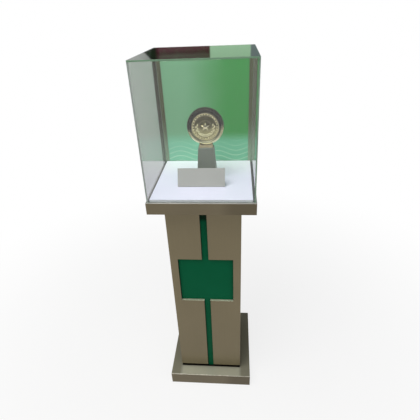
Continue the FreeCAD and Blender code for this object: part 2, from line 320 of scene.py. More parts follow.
def mixed(tree, share, first, second):
    """A colour between two colours; each may be a value or a socket."""
    node = tree.nodes.new("ShaderNodeMix")
    node.data_type = "RGBA"
    tree.links.new(share, node.inputs["Factor"])
    for label, value in (("A", first), ("B", second)):
        socket = [entry for entry in node.inputs if entry.name == label and entry.type == "RGBA"][0]
        if isinstance(value, bpy.types.NodeSocket):
            tree.links.new(value, socket)
        else:
            socket.default_value = value
    return [output for output in node.outputs if output.type == "RGBA"][0]


def noise(tree, vector, scale, detail, roughness):
    node = tree.nodes.new("ShaderNodeTexNoise")
    set_sockets(node, Scale=scale, Detail=detail, Roughness=roughness)
    tree.links.new(vector, node.inputs["Vector"])
    return node.outputs["Fac"]


def object_place(tree):
    return tree.nodes.new("ShaderNodeTexCoord").outputs["Object"]


def split(tree, vector):
    node = tree.nodes.new("ShaderNodeSeparateXYZ")
    tree.links.new(vector, node.inputs["Vector"])
    return node.outputs


def build_grain_group():
    """Fine lines drawn out along one axis, and broad clouds, both from 0 to 1."""
    group, entry, result = new_group(
        "drawn_grain",
        [("Vector", "NodeSocketVector"), ("Stretch", "NodeSocketVector"), ("Cloud Scale", "NodeSocketFloat")],
        [("Lines", "NodeSocketFloat"), ("Clouds", "NodeSocketFloat")],
    )
    stretch = group.nodes.new("ShaderNodeVectorMath")
    stretch.operation = "MULTIPLY"
    group.links.new(entry.outputs["Vector"], stretch.inputs[0])
    group.links.new(entry.outputs["Stretch"], stretch.inputs[1])
    lines = noise(group, stretch.outputs["Vector"], scale=1.0, detail=3.0, roughness=0.6)
    clouds = group.nodes.new("ShaderNodeTexNoise")
    set_sockets(clouds, Detail=2.0, Roughness=0.5)
    group.links.new(entry.outputs["Vector"], clouds.inputs["Vector"])
    group.links.new(entry.outputs["Cloud Scale"], clouds.inputs["Scale"])
    group.links.new(lines, result.inputs["Lines"])
    group.links.new(clouds.outputs["Fac"], result.inputs["Clouds"])
    return group


grain_group = build_grain_group()


def grain(tree, stretch, cloud_scale):
    node = tree.nodes.new("ShaderNodeGroup")
    node.node_tree = grain_group
    tree.links.new(object_place(tree), node.inputs["Vector"])
    node.inputs["Stretch"].default_value = stretch
    node.inputs["Cloud Scale"].default_value = cloud_scale
    return node.outputs["Lines"], node.outputs["Clouds"]


def raise_surface(tree, shader, height, strength, distance):
    bump = tree.nodes.new("ShaderNodeBump")
    set_sockets(bump, Strength=strength, Distance=distance)
    tree.links.new(height, bump.inputs["Height"])
    tree.links.new(bump.outputs["Normal"], shader.inputs["Normal"])


def finish_material(name, dark, light, stretch, cloud_scale, line_share, rough, bump, **sockets):
    """A material with a drawn grain: two tones, a range of roughness and a shallow relief."""
    material, tree, shader = new_material(name)
    lines, clouds = grain(tree, stretch, cloud_scale)
    share = math_node(
        tree, "ADD", math_node(tree, "MULTIPLY", lines, line_share),
        math_node(tree, "MULTIPLY", clouds, 1.0 - line_share),
    )
    share = ranged(tree, share, 0.3, 0.7, 0.0, 1.0)
    tree.links.new(mixed(tree, share, dark, light), shader.inputs["Base Color"])
    tree.links.new(ranged(tree, lines, 0.25, 0.75, *rough), shader.inputs["Roughness"])
    raise_surface(tree, shader, lines, *bump)
    set_sockets(shader, **sockets)
    return material


def shade(red, green, blue):
    """A colour given as it is seen, 0 to 255, as the linear value that the nodes take."""
    def linear(value):
        value = value / 255
        return value / 12.92 if value <= 0.04045 else ((value + 0.055) / 1.055) ** 2.4
    return tuple(linear(value) for value in (red, green, blue)) + (1.0,)


# Finishes

CLEAR = shade(251, 252, 253)


def even(scale):
    """A grain that is the same along all axes."""
    return (scale, scale, scale)


def brushed_bronze(direction, stretch, dark=shade(117, 107, 83), light=shade(130, 119, 94)):
    return finish_material(
        "brushed_bronze_" + direction, dark, light,
        stretch, cloud_scale=5.0, line_share=0.6, rough=(0.36, 0.46), bump=(0.12, 0.0002),
        Metallic=0.5, Specular_IOR_Level=0.3,
    )


# A lighter copy of the bronze for faces that point up: painted light from above.
def upward_lit_bronze(name, dark, light):
    return brushed_bronze(name, ALONG_X, dark, light)


def recolour(material, share, tone):
    """Lay a second tone over part of a material's colour."""
    tree = material.node_tree
    colour = tree.nodes["Principled BSDF"].inputs["Base Color"]
    under = colour.links[0].from_socket
    tree.links.new(mixed(tree, share, under, tone), colour)


def inside(tree, half_width, front, back, softness=0.001):
    """1 within a rectangle seen from above, with soft edges, else 0."""
    x, y, _ = split(tree, object_place(tree))
    along = math_node(tree, "SUBTRACT", y, (front + back) / 2)
    shares = []
    for reach, half in ((x, half_width), (along, (back - front) / 2)):
        reach = math_node(tree, "ABSOLUTE", reach)
        shares.append(ranged(tree, reach, half - softness, half + softness, 1.0, 0.0))
    return math_node(tree, "MULTIPLY", *shares)


def bronze_across():
    """Bronze brushed from side to side, with painted shade that darkens it a little towards the right."""
    start, end, share = 0.055, 0.125, 0.5
    material = brushed_bronze("across", ALONG_X, shade(106, 97, 77), shade(118, 108, 87))
    tree = material.node_tree
    aside = split(tree, object_place(tree))["X"]
    # Painted shade: darker towards the right.
    recolour(material, ranged(tree, aside, start, end, 0.0, share, smooth_step=True), shade(80, 72, 56))
    return material


def base_top_bronze():
    """The base's flat top, a lighter copy of the bronze for painted light from above, with a painted sheen
    before the column, a broken painted highlight along the front edge and painted shade under the column.
    """
    sheen_fade = 0.008
    highlight_width = 0.005
    material = upward_lit_bronze("base_top", shade(142, 140, 121), shade(156, 153, 134))
    tree = material.node_tree
    # Painted light: the bronze before the column is lighter, as if the column's face threw light down on it.
    painted_sheen = inside(tree, column_half, base_front, column_front, sheen_fade)
    recolour(material, painted_sheen, shade(188, 189, 170))
    # Painted highlight along the front edge, broken up by noise.
    spot = object_place(tree)
    speckle = noise(tree, spot, scale=90.0, detail=2.0, roughness=0.5)
    highlight_breaks = ranged(tree, speckle, 0.35, 0.6, 0.3, 1.0)
    edge = ranged(tree, split(tree, spot)["Y"], base_front, base_front + highlight_width, 1.0, 0.0)
    recolour(material, math_node(tree, "MULTIPLY", edge, highlight_breaks), shade(244, 242, 228))
    # Painted shade: dark under the column, where the shadow gap is.
    recolour(material, inside(tree, column_half, column_front, column_back), shade(20, 18, 15))
    return material


def deck_top_bronze():
    """The deck's flat top, a lighter copy of the bronze for painted light from above, with painted shade
    inside the hood.
    """
    material = upward_lit_bronze("deck_top", shade(159, 159, 154), shade(175, 174, 169))
    # Painted shade: the deck top inside the hood is darker, so the gaps beside the white floor panel look
    # dark.
    share = inside(material.node_tree, hood_half, hood_front, hood_back)
    recolour(material, share, shade(78, 82, 84))
    return material


def strip_bronze():
    """Dark brushed strip that pales towards its foot, where the white floor panel shines on it."""
    glow_full, glow_end, glow_share = 0.02, 0.22, 0.7
    material = brushed_bronze("strip", ALONG_Z, shade(66, 73, 36), shade(80, 85, 44))
    tree = material.node_tree
    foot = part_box("back_edge_strip_left")[0].z
    height = split(tree, object_place(tree))["Z"]
    glow = ranged(tree, height, foot + glow_full, foot + glow_end, glow_share, 0.0, smooth_step=True)
    recolour(material, glow, shade(157, 190, 158))
    return material


def green_inlay():
    """Satin green sheet, darkened where it goes up behind the deck's overhang."""
    shadow_start, shadow_full, shadow_share = 0.070, 0.054, 0.85
    material = finish_material(
        "green_inlay", shade(2, 88, 55), shade(4, 95, 61),
        even(260.0), cloud_scale=6.0, line_share=0.3, rough=(0.42, 0.52), bump=(0.04, 0.0003),
        Specular_IOR_Level=0.05,
    )
    tree = material.node_tree
    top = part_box("green_inlay")[1].z
    height = split(tree, object_place(tree))["Z"]
    shadow = ranged(tree, height, top - shadow_start, top - shadow_full, 0.0, shadow_share)
    recolour(material, shadow, shade(2, 22, 4))
    return material


def white_panel():
    """Satin white sheet, with painted light that makes it a little whiter towards the back."""
    start, end, share = -0.02, 0.15, 0.9
    material = finish_material(
        "white_panel", shade(228, 229, 246), shade(234, 236, 251),
        even(420.0), cloud_scale=7.0, line_share=0.4, rough=(0.30, 0.40), bump=(0.03, 0.0002),
        Specular_IOR_Level=0.4,
    )
    tree = material.node_tree
    depth = split(tree, object_place(tree))["Y"]
    # Painted light: whiter towards the back.
    recolour(material, ranged(tree, depth, start, end, 0.0, share, smooth_step=True), shade(248, 251, 255))
    return material


def green_backing():
    """Glossy sheet: sage on the left and a fuller green on the right, a paler band along the foot that is a
    painted reflection of the white floor panel, and pale printed waves along the foot.
    """
    sway = 0.06
    sage_end, green_start = -0.085, 0.14
    reflection_low, reflection_high, reflection_share = 1.141, 1.201, 0.62
    wave_turns, wave_height, wave_spacing, wave_line = 38.0, 0.011, 0.011, 0.0026
    wave_low, wave_high, wave_share = 1.081, 1.181, 0.55
    material, tree, shader = new_material("green_backing")
    x, _, z = split(tree, object_place(tree))
    _, clouds = grain(tree, even(30.0), cloud_scale=9.0)
    across = math_node(tree, "ADD", x, math_node(tree, "MULTIPLY", clouds, sway))
    across = ranged(tree, across, sage_end, green_start, 0.0, 1.0, smooth_step=True)
    green = mixed(tree, across, shade(116, 174, 129), shade(36, 144, 52))
    # Painted reflection of the white floor panel: a paler band along the foot.
    foot = ranged(tree, z, reflection_low, reflection_high, 1.0, 0.0, smooth_step=True)
    green = mixed(tree, math_node(tree, "MULTIPLY", foot, reflection_share), green, shade(132, 216, 180))
    swing = math_node(tree, "SINE", math_node(tree, "MULTIPLY", x, wave_turns))
    level = math_node(tree, "SUBTRACT", z, math_node(tree, "MULTIPLY", swing, wave_height))
    step = math_node(tree, "PINGPONG", level, wave_spacing)
    line = ranged(tree, step, 0.0, wave_line, 1.0, 0.0, smooth_step=True)
    reach = ranged(tree, z, wave_low, wave_high, wave_share, 0.0, smooth_step=True)
    waves = math_node(tree, "MULTIPLY", line, reach)
    tree.links.new(mixed(tree, waves, green, shade(214, 236, 222)), shader.inputs["Base Color"])
    tree.links.new(ranged(tree, clouds, 0.3, 0.7, 0.38, 0.46), shader.inputs["Roughness"])
    set_sockets(shader, Specular_IOR_Level=0.2)
    return material


def acrylic(name, face_tint, edge_tint):
    """Polished clear sheet that light shines straight through, deeper in tone where it is seen at a slant."""
    slant_blend = 0.35
    material, tree, shader = new_material(name)
    _, clouds = grain(tree, even(40.0), cloud_scale=14.0)
    facing = tree.nodes.new("ShaderNodeLayerWeight")
    facing.inputs["Blend"].default_value = slant_blend
    tree.links.new(mixed(tree, facing.outputs["Facing"], face_tint, edge_tint), shader.inputs["Base Color"])
    tree.links.new(ranged(tree, clouds, 0.35, 0.75, 0.0, 0.02), shader.inputs["Roughness"])
    set_sockets(shader, Transmission_Weight=1.0, IOR=1.49)
    straight = tree.nodes.new("ShaderNodeBsdfTransparent")
    straight.inputs["Color"].default_value = CLEAR
    path = tree.nodes.new("ShaderNodeLightPath")
    surface = shader.outputs["BSDF"]
    for ray in ("Is Diffuse Ray", "Is Shadow Ray"):
        either = tree.nodes.new("ShaderNodeMixShader")
        tree.links.new(path.outputs[ray], either.inputs["Fac"])
        tree.links.new(surface, either.inputs[1])
        tree.links.new(straight.outputs["BSDF"], either.inputs[2])
        surface = either.outputs["Shader"]
    tree.links.new(surface, tree.nodes["Material Output"].inputs["Surface"])
    return material


def below(tree, start, end, lean=0.0):
    """0 above one level of the medal and 1 below another, counted from its middle and tilted by lean."""
    x, _, z = split(tree, object_place(tree))
    height = math_node(tree, "SUBTRACT", z, medal_axis().z)
    aside = math_node(tree, "MULTIPLY", math_node(tree, "SUBTRACT", x, medal_axis().x), lean)
    return ranged(tree, math_node(tree, "SUBTRACT", height, aside), start, end, 0.0, 1.0, smooth_step=True)


def from_axis(tree):
    """Distance from the medal's axis."""
    axis = medal_axis()
    flat = tree.nodes.new("ShaderNodeVectorMath")
    flat.operation = "MULTIPLY"
    flat.inputs[1].default_value = (1.0, 0.0, 1.0)
    tree.links.new(object_place(tree), flat.inputs[0])
    reach = tree.nodes.new("ShaderNodeVectorMath")
    reach.operation = "DISTANCE"
    reach.inputs[1].default_value = (axis.x, 0.0, axis.z)
    tree.links.new(flat.outputs["Vector"], reach.inputs[0])
    return reach.outputs["Value"]


def gold(name):
    """The start of a gold finish: the material, its fine scratches and its clouds."""
    material, tree, shader = new_material(name)
    lines, clouds = grain(tree, (900.0, 120.0, 900.0), cloud_scale=40.0)
    raise_surface(tree, shader, lines, strength=0.03, distance=0.0002)
    return material, tree, shader, clouds


def rim_gold():
    """Gold rim, polished at its foot and duller above and on the inner slope, with painted shade that darkens
    it above and on the inner slope and a painted reflection of the white floor that brightens its foot.
    """
    slope_inner, slope_outer, slope_share = 0.0600, 0.0625, 0.35
    material, tree, shader, clouds = gold("rim_gold")
    outer = ranged(tree, from_axis(tree), slope_inner, slope_outer, slope_share, 1.0)
    # Painted shade: above the rim's foot and on its inner slope the colour is dark; the same share also sets
    # the metal and the roughness.
    polish_and_light = math_node(tree, "MULTIPLY", below(tree, start=0.006, end=-0.026, lean=0.12), outer)
    painted_shade = mixed(tree, clouds, shade(26, 24, 8), shade(36, 33, 12))
    dim = mixed(tree, clouds, shade(164, 160, 122), shade(178, 174, 134))
    bright = mixed(tree, clouds, shade(204, 203, 162), shade(220, 219, 178))
    # Painted reflection of the white floor: the rim's colour grows brighter towards its foot.
    painted_reflection = mixed(tree, below(tree, start=-0.020, end=-0.058), dim, bright)
    tree.links.new(mixed(tree, polish_and_light, painted_shade, painted_reflection), shader.inputs["Base Color"])
    tree.links.new(ranged(tree, polish_and_light, 0.0, 1.0, 0.65, 1.0), shader.inputs["Metallic"])
    tree.links.new(ranged(tree, polish_and_light, 0.0, 1.0, 0.46, 0.14), shader.inputs["Roughness"])
    set_sockets(shader, Specular_IOR_Level=0.15)
    return material


def relief_gold():
    """Pale gold relief over a duller, darker ground, with painted shade that darkens the ground further in
    the upper part of the face.
    """
    material, tree, shader, clouds = gold("relief_gold")
    raised = mixed(tree, clouds, shade(222, 214, 164), shade(236, 229, 186))
    # Painted shade: the ground is darker in the upper part of the face.
    ground = mixed(tree, below(tree, start=0.006, end=-0.016), shade(74, 69, 40), shade(146, 141, 100))
    depth = split(tree, object_place(tree))["Y"]
    low = ranged(tree, depth, medal_ground() - relief_full, medal_ground() - relief_start, 0.0, 1.0)
    tree.links.new(mixed(tree, low, raised, ground), shader.inputs["Base Color"])
    tree.links.new(ranged(tree, low, 0.0, 1.0, 0.13, 0.40), shader.inputs["Roughness"])
    set_sockets(shader, Metallic=1.0)
    return material


def foot_gold():
    material, tree, shader, clouds = gold("foot_gold")
    tone = mixed(tree, clouds, shade(150, 140, 108), shade(170, 160, 126))
    tree.links.new(tone, shader.inputs["Base Color"])
    set_sockets(shader, Metallic=1.0, Roughness=0.15)
    return material


def build_finishes():
    return {
        "brushed_bronze": brushed_bronze("upright", ALONG_Z),
        "bronze_across": bronze_across(),
        "bronze_deep": brushed_bronze("deep", ALONG_Y, shade(104, 96, 76), shade(116, 107, 86)),
        # Lighter bronze for faces that point up: painted light.
        "bronze_upward_lit": upward_lit_bronze("flat", shade(186, 192, 168), shade(202, 207, 183)),
        # Dark green bronze for the recess's side returns: painted shade with a painted reflection of the
        # green sheet.
        "bronze_recess": brushed_bronze("recess", ALONG_Z, shade(6, 22, 8), shade(10, 28, 12)),
        "base_top": base_top_bronze(),
        "deck_top": deck_top_bronze(),
        "bronze_strip": strip_bronze(),
        "green_inlay": green_inlay(),
        "green_backing": green_backing(),
        "clear_acrylic": acrylic("clear_acrylic", CLEAR, shade(214, 218, 218)),
        # The top panel turns maroon at a slant: a painted reflection of the dark room.
        "top_acrylic": acrylic("top_acrylic", CLEAR, shade(93, 69, 82)),
        # The side panels are greyer copies of the clear acrylic, darkest at a slant: painted shade and
        # reflection of the room.
        "left_acrylic": acrylic("left_acrylic", shade(225, 222, 221), shade(36, 33, 33)),
        "right_acrylic": acrylic("right_acrylic", shade(244, 245, 246), shade(76, 74, 74)),
        "acrylic_edge": finish_material(
            "acrylic_edge", shade(97, 132, 103), shade(113, 148, 119),
            even(300.0), cloud_scale=30.0, line_share=0.4, rough=(0.18, 0.28), bump=(0.03, 0.0002),
        ),
        # A lighter copy of the acrylic edge for the left panel: painted light.
        "left_edge": finish_material(
            "left_edge", shade(166, 173, 166), shade(178, 185, 178),
            even(300.0), cloud_scale=30.0, line_share=0.4, rough=(0.18, 0.28), bump=(0.03, 0.0002),
        ),
        "dark_cloth": finish_material(
            "dark_cloth", shade(26, 22, 18), shade(36, 31, 26),
            even(200.0), cloud_scale=12.0, line_share=0.5, rough=(0.8, 0.9), bump=(0.1, 0.0004),
            Specular_IOR_Level=0.1,
        ),
        "white_panel": white_panel(),
        "panel_edge": finish_material(
            "panel_edge", shade(200, 205, 206), shade(212, 216, 217),
            even(420.0), cloud_scale=20.0, line_share=0.5, rough=(0.45, 0.55), bump=(0.05, 0.0002),
        ),
        "caption_grey": finish_material(
            "caption_grey", shade(158, 159, 152), shade(166, 167, 160),
            even(500.0), cloud_scale=18.0, line_share=0.4, rough=(0.42, 0.55), bump=(0.05, 0.0002),
        ),
        "post_grey": finish_material(
            "post_grey", shade(100, 109, 94), shade(110, 119, 104),
            even(600.0), cloud_scale=22.0, line_share=0.5, rough=(0.42, 0.58), bump=(0.06, 0.0002),
        ),
        "gold": foot_gold(),
        "rim_gold": rim_gold(),
        "relief_gold": relief_gold(),
        "plywood": finish_material(
            "plywood", shade(176, 142, 98), shade(206, 176, 130),
            (420.0, 420.0, 14.0), cloud_scale=8.0, line_share=0.7, rough=(0.55, 0.75), bump=(0.25, 0.0004),
        ),
        "fibreboard": finish_material(
            "fibreboard", shade(128, 98, 68), shade(152, 120, 86),
            even(900.0), cloud_scale=24.0, line_share=0.7, rough=(0.65, 0.85), bump=(0.15, 0.0003),
        ),
        "zinc_steel": finish_material(
            "zinc_steel", shade(168, 170, 170), shade(198, 198, 192),
            even(700.0), cloud_scale=90.0, line_share=0.5, rough=(0.28, 0.45), bump=(0.08, 0.0002),
            Metallic=1.0,
        ),
        "glide_nylon": finish_material(
            "glide_nylon", shade(28, 28, 29), shade(40, 40, 41),
            even(1200.0), cloud_scale=60.0, line_share=0.6, rough=(0.45, 0.6), bump=(0.12, 0.0002),
        ),
    }


finish = build_finishes()


def dress_nodes():
    """Every node of the frame takes the finish of its slot."""
    for row in frame["record"]["subparts"]:
        node = frame["nodes"][row["node"]]
        node.data.materials.clear()
        node.data.materials.append(finish[row["material_slot"]])


# Folded metal

def paint(piece, material, test):
    """Give the faces that pass a test a material of their own."""
    piece.data.materials.append(material)
    choose(piece, "faces", test)
    piece.active_material_index = len(piece.data.materials) - 1
    bpy.ops.object.material_slot_assign()
    bpy.ops.object.mode_set(mode="OBJECT")


def faces_up(face):
    return face.normal.z > upward_share


def build_tray(node, top):
    """A tray of folded sheet, closed at the top and open below."""
    low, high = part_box(node)
    tray = block(node + "_folded", low, high)
    choose(tray, "faces", lambda face: turned(face, Z, -1))
    bpy.ops.mesh.delete(type="FACE")
    thicken(tray, sheet)
    round_edges(
        tray, lambda edge: outside_fold(edge) and not ends_at(edge, Z, low.z), fold_radius, fold_segments
    )
    paint(tray, finish["bronze_across"], lambda face: True)
    paint(tray, finish["bronze_deep"], lambda face: abs(face.normal.x) > sideward_share)
    # Faces that point up, and the upper part of each fold, take the lighter top: painted light, which also
    # draws painted highlights along the folds.
    paint(tray, finish[top], faces_up)
    place(tray, "pedestal", "brushed_bronze", node)


def build_skin(node, side):
    """A skin round half of the column, with returns at the stripe, the field, the seam and the foot."""
    low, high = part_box(node)
    inner = side * stripe_width / 2
    outer = high.x if side > 0 else low.x
    field_side = side * field_width / 2
    skin = block(node + "_folded", (min(inner, outer), low.y, low.z), (max(inner, outer), high.y, high.z))
    choose(skin, "verts", lambda point: point.co.y > 0 and abs(point.co.x - inner) < TINY)
    bpy.ops.transform.translate(value=(side * back_seam / 2 - inner, 0, 0))

    choose(skin, "faces", lambda face: turned(face, Z, -1))
    bpy.ops.mesh.inset(thickness=cladding_depth)
    bpy.ops.mesh.delete(type="FACE")
    choose(skin, "faces", lambda face: turned(face, Z, 1) or turned(face, X, -side))
    bpy.ops.mesh.delete(type="FACE")
    choose(
        skin, "faces",
        lambda face: turned(face, Z, -1) and abs(face.calc_center_median().x) < cladding_depth + TINY,
    )
    bpy.ops.mesh.delete(type="FACE")

    def on_front(face):
        return turned(face, Y, -1)

    for level in (field_low, field_high):
        choose(skin, "faces", on_front)
        bpy.ops.mesh.bisect(plane_co=(0, 0, level), plane_no=(0, 0, 1))
    choose(skin, "faces", on_front)
    bpy.ops.mesh.bisect(plane_co=(field_side, 0, 0), plane_no=(1, 0, 0))
    choose(
        skin, "faces",
        lambda face: on_front(face)
        and abs(face.calc_center_median().x) < field_width / 2
        and field_low < face.calc_center_median().z < field_high,
    )
    bpy.ops.mesh.delete(type="FACE")

    choose(
        skin, "edges",
        lambda edge: edge.is_boundary and ends_at(edge, Y, low.y)
        and not ends_at(edge, Z, low.z) and not ends_at(edge, Z, high.z),
    )
    bpy.ops.mesh.extrude_edges_move(TRANSFORM_OT_translate={"value": (0, cladding_depth, 0)})
    choose(
        skin, "edges",
        lambda edge: edge.is_boundary and ends_at(edge, Y, high.y) and ends_at(edge, X, side * back_seam / 2),
    )
    bpy.ops.mesh.extrude_edges_move(TRANSFORM_OT_translate={"value": (0, -cladding_depth, 0)})
    close_up()
    thicken(skin, sheet)
    round_edges(
        skin,
        lambda edge: outside_fold(edge) and not ends_at(edge, Z, high.z)
        and (ends_at(edge, Y, low.y) or ends_at(edge, Y, high.y) or ends_at(edge, X, outer)),
        fold_radius, fold_segments,
    )
    paint(skin, finish["brushed_bronze"], lambda face: True)
    # Faces that point up, such as the field's lower return, take lighter bronze: painted light.
    paint(skin, finish["bronze_upward_lit"], faces_up)
    # The recess's side returns that face the field and stripe take dark green bronze: painted shade with a
    # painted reflection of the green sheet.
    paint(
        skin, finish["bronze_recess"],
        lambda face: turned(face, X, -side) and face.calc_center_median().y < low.y + cladding_depth,
    )
    place(skin, "pedestal", "brushed_bronze", node)


def build_inlay():
    """Green sheet cut as a square with a strip above and below it."""
    low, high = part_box("green_inlay")
    half_stripe = stripe_width / 2 - inlay_fit
    inlay = block(
        "green_inlay_sheet", (low.x, low.y, field_low + inlay_fit), (high.x, high.y, field_high - inlay_fit)
    )
    for x in (-half_stripe, half_stripe):
        choose_all(inlay)
        bpy.ops.mesh.bisect(plane_co=(x, 0, 0), plane_no=(1, 0, 0))
    for direction, reach in ((1, high.z - field_high + inlay_fit), (-1, field_low + inlay_fit - low.z)):
        choose(
            inlay, "faces",
            lambda face: turned(face, Z, direction) and abs(face.calc_center_median().x) < half_stripe,
        )
        bpy.ops.mesh.extrude_region_move(TRANSFORM_OT_translate={"value": (0, 0, direction * reach)})
    round_edges(inlay, lambda edge: sharp(edge) and ends_at(edge, Y, low.y), inlay_edge, segments=2)
    place(inlay, "pedestal", "green_inlay", "green_inlay")


# Hood and display floor

def panel_block(node, test, radius, segments):
    """A flat panel with softened edges."""
    panel = block(node + "_finished", *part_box(node))
    round_edges(panel, test, radius, segments)
    return panel


def build_acrylic_panel(side, axis, material):
    """A clear panel, thin along one axis, with tinted edges; the back one has tinted bonds with the sides."""
    node = "hood_" + side + "_panel"
    panel = panel_block(node, sharp, acrylic_edge, segments=2)
    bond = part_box("hood_right_panel")[0].x - bond_width
    if side == "back":
        for x in (-bond, bond):
            choose_all(panel)
            bpy.ops.mesh.bisect(plane_co=(x, 0, 0), plane_no=(1, 0, 0))
    paint(panel, material, lambda face: True)
    edge = "left_edge" if side == "left" else "acrylic_edge"
    paint(
        panel, finish[edge],
        lambda face: abs(face.normal[axis]) < turned_share
        or (side == "back" and abs(face.calc_center_median().x) > bond),
    )
    place(panel, "hood", "clear_acrylic", node)


def build_hood():
    for side, axis, material in (
        ("front", Y, "clear_acrylic"),
        ("back", Y, "clear_acrylic"),
        ("left", X, "left_acrylic"),
        ("right", X, "right_acrylic"),
        ("top", Z, "top_acrylic"),
    ):
        build_acrylic_panel(side, axis, finish[material])
    backing = panel_block("green_backing_sheet", sharp, backing_edge, segments=2)
    place(backing, "hood", "green_backing", "green_backing_sheet")
    for side in ("left", "right"):
        node = "back_edge_strip_" + side
        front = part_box(node)[0].y
        strip = panel_block(
            node, lambda edge: sharp(edge) and ends_at(edge, Y, front), strip_edge, segments=3
        )
        paint(strip, finish["bronze_strip"], lambda face: True)
        place(strip, "hood", "brushed_bronze", node)


def build_floor_panel():
    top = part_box("floor_panel")[1].z
    panel = panel_block(
        "floor_panel", lambda edge: sharp(edge) and ends_at(edge, Z, top), floor_panel_edge, segments=4
    )
    paint(panel, finish["white_panel"], lambda face: True)
    paint(panel, finish["panel_edge"], lambda face: abs(face.normal.z) < upright_share)
    place(panel, "pedestal", "white_panel", "floor_panel")


# Exhibit

def build_caption_plate():
    """One bent sheet: a foot on the floor panel and a face that leans back."""
    low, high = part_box("caption_plate")
    clear_selection()
    bpy.ops.mesh.primitive_plane_add(size=1.0, location=((low.x + high.x) / 2, (low.y + high.y) / 2, low.z))
    plate = named("caption_plate_bent")
    plate.scale = (high.x - low.x, high.y - low.y, 1.0)
    settle()
    choose(plate, "edges", lambda edge: ends_at(edge, Y, low.y))
    run = caption_face_height * math.sin(caption_lean)
    rise = caption_face_height * math.cos(caption_lean)
    bpy.ops.mesh.extrude_edges_move(TRANSFORM_OT_translate={"value": (0, run, rise)})
    round_edges(plate, lambda edge: edge.is_manifold and ends_at(edge, Y, low.y), caption_bend, segments=5)
    bpy.ops.mesh.select_all(action="SELECT")
    bpy.ops.mesh.normals_make_consistent(inside=False)
    choose(plate, "faces", lambda face: True)
    mesh = bmesh.from_edit_mesh(plate.data)
    if any(turned(face, Z, 1) for face in mesh.faces):
        bpy.ops.mesh.flip_normals()
    thicken(plate, caption_sheet)
    round_edges(plate, sharp, caption_edge, segments=2)
    place(plate, "pedestal", "caption_grey", "caption_plate")


def build_post():
    low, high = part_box("medal_post")
    post = block("medal_post_tapered", low, high)
    choose(post, "faces", lambda face: turned(face, Z, 1))
    centre = ((low.x + high.x) / 2, (low.y + high.y) / 2, high.z)
    narrowing = (post_top_size[0] / (high.x - low.x), post_top_size[1] / (high.y - low.y), 1.0)
    bpy.ops.transform.resize(value=narrowing, center_override=centre)
    round_edges(post, lambda edge: sharp(edge) and not ends_at(edge, Z, low.z), post_edge, segments=4)
    place(post, "pedestal", "post_grey", "medal_post")


def build_medal_foot():
    """Small plinth whose top is hollowed to take the rim."""
    low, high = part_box("medal_foot")
    foot = block("medal_foot_saddle", low, high)
    round_edges(foot, lambda edge: sharp(edge) and not ends_at(edge, Z, low.z), medal_foot_edge, segments=3)
    clear_selection()
    bpy.ops.mesh.primitive_cylinder_add(
        vertices=medal_segments, radius=medal_radius + face_fit, depth=saddle_cut_depth,
        location=medal_axis(), rotation=(math.pi / 2, 0, 0),
    )
    cutter = bpy.context.object
    clear_selection()
    foot.select_set(True)
    bpy.context.view_layer.objects.active = foot
    bpy.ops.object.modifier_add(type="BOOLEAN")
    saddle = foot.modifiers[-1]
    saddle.operation = "DIFFERENCE"
    saddle.object = cutter
    bpy.ops.object.modifier_apply(modifier=saddle.name)
    bpy.data.objects.remove(cutter)
    place(foot, "pedestal", "gold", "medal_foot")


def build_medal_rim():
    """A ring with a round front, spun from its section."""
    low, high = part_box("medal_rim")
    axis = medal_axis()
    middle = axis.x + (medal_radius + medal_bore) / 2
    clear_selection()
    bpy.ops.mesh.primitive_plane_add(size=1.0, location=(middle, axis.y, axis.z))
    rim = named("medal_rim_spun")
    rim.scale = (medal_radius - medal_bore, high.y - low.y, 1.0)
    settle()
    for end, radius, segments in (
        (low.y, rim_front_round, rim_front_segments),
        (high.y, rim_back_round, rim_back_segments),
    ):
        choose(rim, "verts", lambda point: abs(point.co.y - end) < TINY)
        bpy.ops.mesh.bevel(offset=radius, segments=segments, affect="VERTICES")
    choose_all(rim)
    bpy.ops.mesh.delete(type="ONLY_FACE")
    choose_all(rim)
    bpy.ops.mesh.spin(steps=medal_segments, angle=2 * math.pi, center=axis, axis=(0, 1, 0))
    close_up()
    paint(rim, finish["rim_gold"], lambda face: True)
    place(rim, "pedestal", "gold", "medal_rim")


def step_inwards(width, rise):
    """Draw a ring inside the selected round face, and push what lies within it towards the front."""
    bpy.ops.mesh.inset(thickness=width)
    bpy.ops.transform.translate(value=(0, -rise, 0))


def build_face_disc(front):
    """Round plate with raised rings, the larger one at its border."""
    axis = medal_axis()
    radius = medal_bore - face_fit
    clear_selection()
    bpy.ops.mesh.primitive_cylinder_add(
        vertices=medal_segments, radius=radius, depth=face_thickness,
        location=(axis.x, front + face_thickness / 2, axis.z), rotation=(math.pi / 2, 0, 0),
    )
    disc = named("medal_face_relief")
    settle()
    choose(disc, "faces", lambda face: turned(face, Y, -1))
    for width, rise in face_rings:
        step_inwards(width, rise)
    bpy.ops.object.mode_set(mode="OBJECT")
    return disc


def ground_point(front, radius, angle):
    """A point on the face, at an angle from straight down, turning towards +X."""
    axis = medal_axis()
    return Vector((axis.x + radius * math.sin(angle), front, axis.z - radius * math.cos(angle)))


def build_beads(front):
    clear_selection()
    bpy.ops.mesh.primitive_uv_sphere_add(
        segments=bead_segments, ring_count=bead_rings, radius=bead_radius,
        location=ground_point(front, bead_circle, 0.0), rotation=(math.pi / 2, 0, 0),
    )
    beads = named("medal_beads")
    settle()
    choose_all(beads)
    bpy.ops.mesh.spin(
        steps=bead_count, dupli=True, angle=2 * math.pi, center=medal_axis(), axis=(0, 1, 0)
    )
    close_up()
    bpy.ops.object.mode_set(mode="OBJECT")
    return beads


